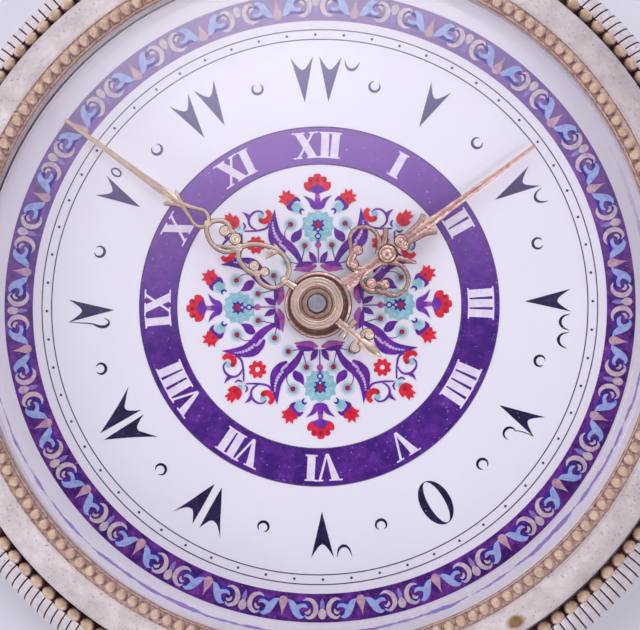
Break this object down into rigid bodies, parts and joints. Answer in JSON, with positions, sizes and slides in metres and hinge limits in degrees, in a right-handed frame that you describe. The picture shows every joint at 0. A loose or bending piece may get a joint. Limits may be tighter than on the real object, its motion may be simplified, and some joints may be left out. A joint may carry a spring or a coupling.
{
  "type": "watch dial",
  "caption": "Round enamel pocket watch dial with fretwork hands and their motion work, set in a beaded case band under a hinged glazed bezel.",
  "frame": {"origin": "on the hands' axis, in the plane of the case band's rear face, at the lowest point of the part", "axes": "+Z out of the dial towards the eye, +Y towards twelve o'clock, +X towards three o'clock"},
  "size_m": [0.0526, 0.0526, 0.0107],
  "materials": {
    "case_silver": "worn satin silver",
    "steel": "polished",
    "plate_brass": "gilt, fine grained",
    "gilt_brass": "rose gilt, engraved",
    "copper": "dull",
    "white_enamel": "glossy fired enamel",
    "crystal_glass": "polished",
    "ruby": "polished"
  },
  "bodies": {
    "case": {"case_band": "case_silver", "band_bead_row": "case_silver", "stem_tube": "steel", "bezel_hinge_knuckles": "case_silver", "bezel_hinge_pin": "steel", "mainplate": "plate_brass", "plate_jewels": "ruby", "centre_bush": "plate_brass", "minute_wheel_stud": "steel", "setting_wheel_stud": "steel", "case_screws": "steel", "dial_front_enamel": "white_enamel", "dial_copper_base": "copper", "dial_counter_enamel": "white_enamel", "dial_feet": "copper", "dial_foot_screws": "steel"},
    "bezel": {"bezel": "case_silver", "bezel_bead_row": "case_silver", "crystal": "crystal_glass"},
    "minute_hand": {"centre_arbor": "steel", "cannon_pinion": "steel", "minute_hand": "gilt_brass", "minute_hand_collet": "gilt_brass"},
    "hour_hand": {"hour_wheel": "plate_brass", "dial_spring_washer": "plate_brass", "hour_hand": "gilt_brass", "hour_hand_collet": "gilt_brass"},
    "minute_wheel": {"minute_wheel": "plate_brass", "minute_pinion": "steel"},
    "setting_wheel": {"setting_wheel": "steel"}
  },
  "joints": [
    {"name": "minute_hand_turn", "type": "hinge", "parent": "case", "child": "minute_hand", "pos_m": [0, 0, 0.005], "axis": [0, 0, -1], "continuous": true},
    {"name": "hour_hand_turn", "type": "hinge", "parent": "case", "child": "hour_hand", "pos_m": [0, 0, 0.005], "axis": [0, 0, -1], "continuous": true},
    {"name": "minute_wheel_turn", "type": "hinge", "parent": "case", "child": "minute_wheel", "pos_m": [0.0024, 0.00416, 0.0045], "axis": [0, 0, -1], "continuous": true},
    {"name": "setting_wheel_turn", "type": "hinge", "parent": "case", "child": "setting_wheel", "pos_m": [-0.0006, 0.00935, 0.0045], "axis": [0, 0, -1], "continuous": true},
    {"name": "bezel_hinge", "type": "hinge", "parent": "case", "child": "bezel", "pos_m": [-0.0253, 0, 0.0083], "axis": [0, -1, 0], "range_deg": [0, 100]}
  ],
  "couplings": [
    {"joint": "hour_hand_turn", "follows": "minute_hand_turn", "ratio": 0.083333},
    {"joint": "minute_wheel_turn", "follows": "minute_hand_turn", "ratio": -0.33333},
    {"joint": "setting_wheel_turn", "follows": "minute_hand_turn", "ratio": 0.5}
  ]
}
